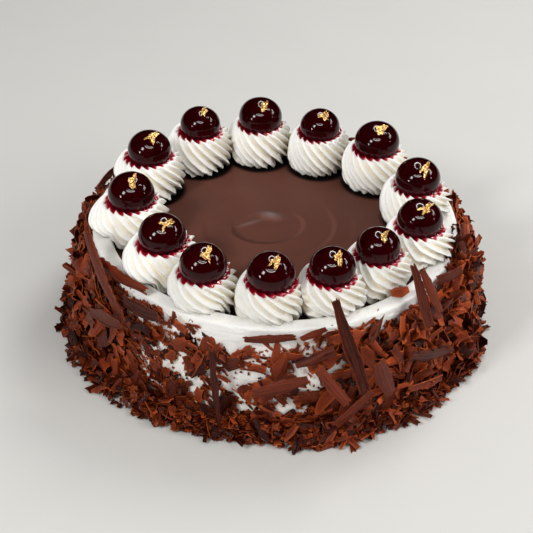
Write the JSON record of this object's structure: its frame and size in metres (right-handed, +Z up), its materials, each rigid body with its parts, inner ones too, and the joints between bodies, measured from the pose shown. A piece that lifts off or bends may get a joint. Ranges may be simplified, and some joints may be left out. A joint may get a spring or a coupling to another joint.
{
  "type": "black forest cake",
  "caption": "Round uncut black forest cake: cream-coated drum, ganache pool, ring of piped rosettes with glazed cherries, side covered in chocolate shavings.",
  "frame": {"origin": "middle of the cake's flat underside, on the surface it stands on", "axes": "+Z up; -Y is the front of the cake and +X its right, seen from the front"},
  "size_m": [0.2212, 0.2219, 0.0865],
  "materials": {
    "cream": "satin whipped cream, white with warm shading",
    "ganache": "satin dark chocolate",
    "cherry_glaze": "mirror-gloss dark red glaze",
    "chocolate": "matt shaved milk chocolate",
    "gold_leaf": "crumpled gold leaf"
  },
  "bodies": {
    "root": {"cake_drum": "cream", "cherry_01": "cherry_glaze", "cherry_02": "cherry_glaze", "cherry_03": "cherry_glaze", "cherry_04": "cherry_glaze", "cherry_05": "cherry_glaze", "cherry_06": "cherry_glaze", "cherry_07": "cherry_glaze", "cherry_08": "cherry_glaze", "cherry_09": "cherry_glaze", "cherry_10": "cherry_glaze", "cherry_11": "cherry_glaze", "cherry_12": "cherry_glaze", "cherry_13": "cherry_glaze", "curl_back_edge": "chocolate", "curl_back_roll": "chocolate", "curl_back_tall": "chocolate", "curl_back_wide": "chocolate", "curl_front_edge_a": "chocolate", "curl_front_edge_b": "chocolate", "curl_front_roll": "chocolate", "curl_front_slab": "chocolate", "curl_front_sliver": "chocolate", "curl_front_strip": "chocolate", "curl_front_tall": "chocolate", "curl_front_wide": "chocolate", "curl_left_broad": "chocolate", "curl_left_oval": "chocolate", "curl_left_roll": "chocolate", "curl_left_tall": "chocolate", "curl_right_low": "chocolate", "curl_right_oval": "chocolate", "curl_right_rim": "chocolate", "curl_right_slab": "chocolate", "curl_right_tall_a": "chocolate", "curl_right_tall_b": "chocolate", "ganache": "ganache", "rosette_01": "cream", "rosette_02": "cream", "rosette_03": "cream", "rosette_04": "cream", "rosette_05": "cream", "rosette_06": "cream", "rosette_07": "cream", "rosette_08": "cream", "rosette_09": "cream", "rosette_10": "cream", "rosette_11": "cream", "rosette_12": "cream", "rosette_13": "cream", "shavings_coat": "chocolate"}
  },
  "joints": []
}
